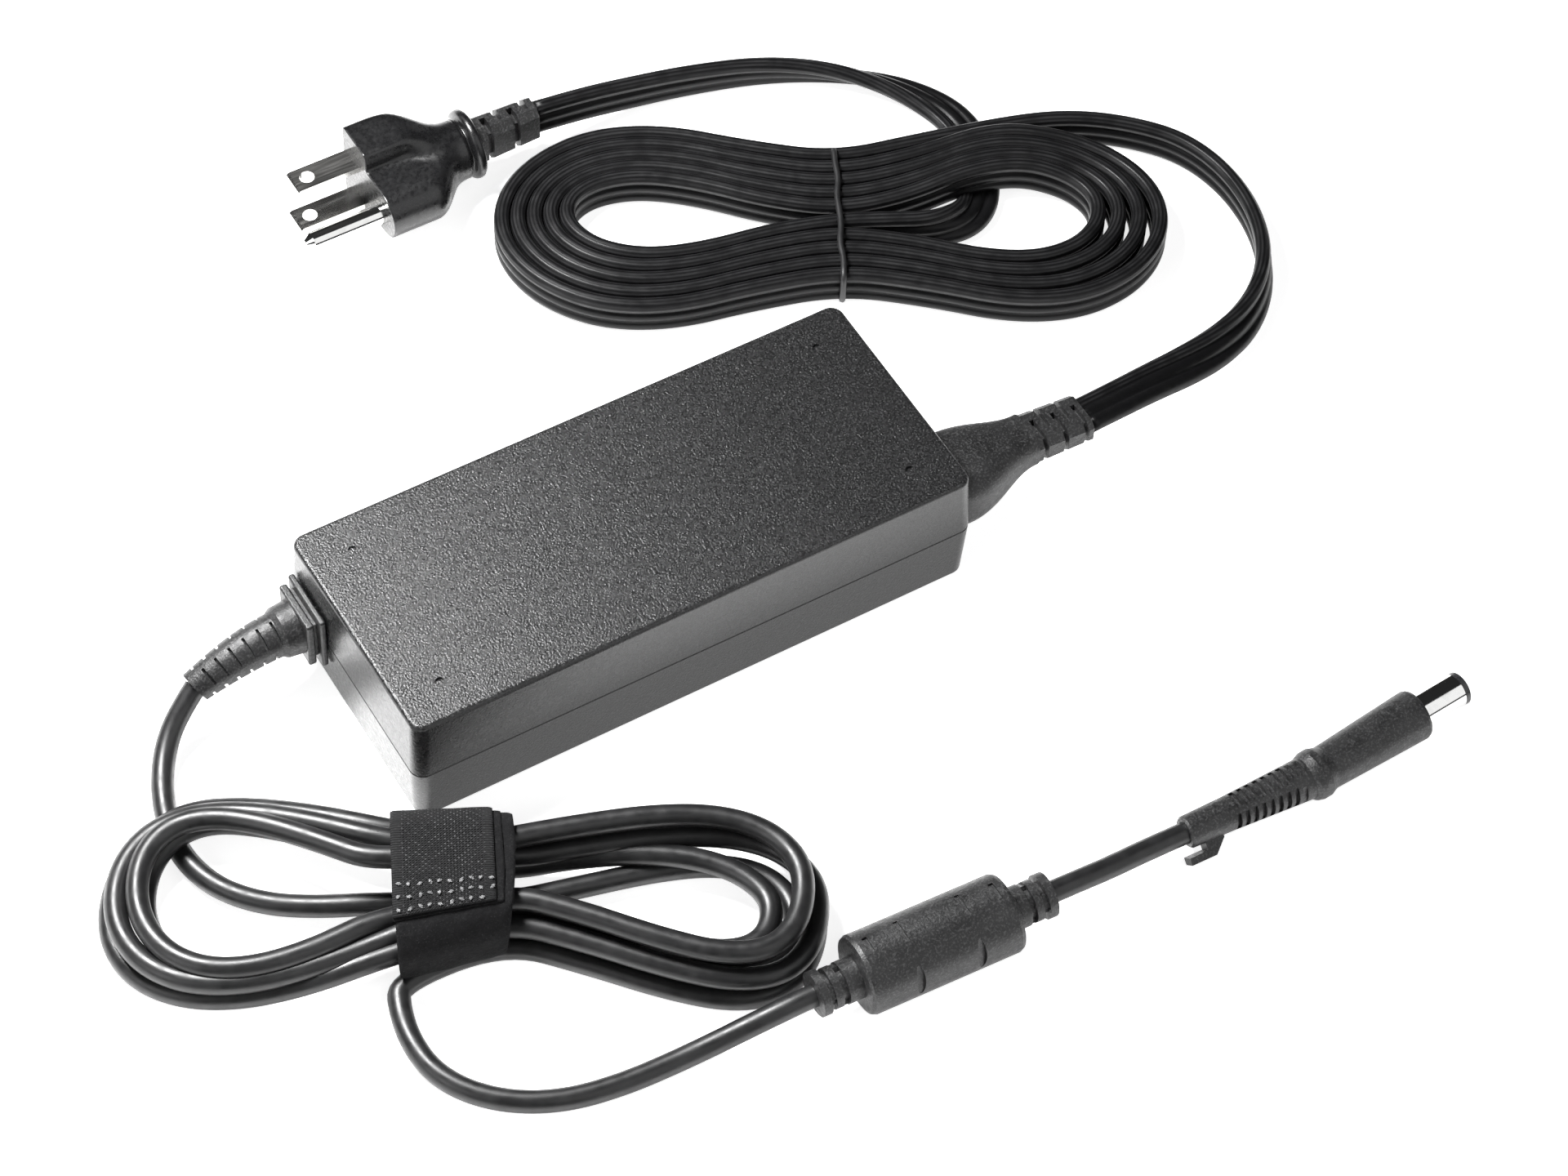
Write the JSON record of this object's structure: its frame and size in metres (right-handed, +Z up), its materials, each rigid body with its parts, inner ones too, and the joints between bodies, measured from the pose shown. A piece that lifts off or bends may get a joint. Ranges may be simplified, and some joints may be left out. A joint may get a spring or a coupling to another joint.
{
  "type": "laptop power adapter",
  "caption": "Mains power brick with a bundled output cord, ferrite, strap and barrel plug, and a detachable bundled mains cord with an earthed plug.",
  "frame": {"origin": "centre of the brick's footprint, on the surface that it lies on", "axes": "+X along the brick towards the mains inlet, +Y across it, +Z up"},
  "size_m": [0.3153, 0.2518, 0.0309],
  "materials": {
    "case": "fine spark texture on top, satin sides",
    "plate": "smooth",
    "socket": "moulded",
    "nickel": "nickel plated",
    "contact_brass": "bare",
    "moulding": "fine matt",
    "plug_moulding": "satin",
    "dc_jacket": "smooth satin",
    "ac_jacket": "ribbed satin",
    "tie": "satin",
    "loop_fabric": "napped",
    "woven_fabric": "ribbed weave with stitches",
    "plug_insulator": "gloss",
    "ferrite": "dull",
    "board": "solder mask",
    "copper": "enamelled wire",
    "aluminium_sheet": "mill finish",
    "capacitor_can": "sleeved can",
    "component_case": "epoxy",
    "yellow_box": "potted box",
    "disc_ceramic": "coated",
    "insulating_film": "film",
    "wire": "insulated"
  },
  "bodies": {
    "adapter": {"ac_inlet": "socket", "bottom_heat_spreader": "aluminium_sheet", "bottom_insulating_sheet": "insulating_film", "bottom_shell": "case", "bridge_rectifier": "component_case", "bulk_capacitor": "capacitor_can", "choke_core": "ferrite", "choke_windings": "copper", "circuit_board": "board", "control_chip": "component_case", "dc_barrel": "nickel", "dc_barrel_tip": "plug_insulator", "dc_centre_pin": "contact_brass", "dc_cord_end": "dc_jacket", "dc_cord_ferrite": "dc_jacket", "dc_cord_hank": "dc_jacket", "dc_cord_lead": "dc_jacket", "dc_cord_tail": "dc_jacket", "dc_plug_core": "plug_insulator", "dc_plug_handle": "moulding", "dc_strain_relief": "moulding", "ferrite_core": "ferrite", "ferrite_cover": "moulding", "fuse": "disc_ceramic", "inlet_pins": "nickel", "inlet_wires": "wire", "optocoupler": "component_case", "output_capacitors": "capacitor_can", "output_choke": "copper", "output_rectifier": "component_case", "output_wires": "wire", "pfc_choke": "ferrite", "power_transistors": "component_case", "primary_heat_sink": "aluminium_sheet", "rating_plate": "plate", "secondary_heat_sink": "aluminium_sheet", "strap_hook_tab": "woven_fabric", "strap_loop_band": "loop_fabric", "top_heat_spreader": "aluminium_sheet", "top_insulating_sheet": "insulating_film", "top_shell": "case", "transformer_core": "ferrite", "transformer_winding": "copper", "x_capacitor": "yellow_box", "y_capacitor": "disc_ceramic"},
    "ac_cord_set": {"ac_coupler": "moulding", "coupler_insert": "socket", "coupler_contacts": "contact_brass", "ac_cord_lead": "ac_jacket", "ac_cord_hank": "ac_jacket", "hank_tie": "tie", "ac_cord_tail": "ac_jacket", "ac_plug_body": "plug_moulding", "ac_plug_relief": "moulding", "line_blade": "nickel", "neutral_blade": "nickel", "ground_pin": "nickel"}
  },
  "joints": [
    {"name": "coupler_pull", "type": "slide", "parent": "adapter", "child": "ac_cord_set", "axis": [1, 0, 0], "range_m": [0, 0.02]}
  ]
}
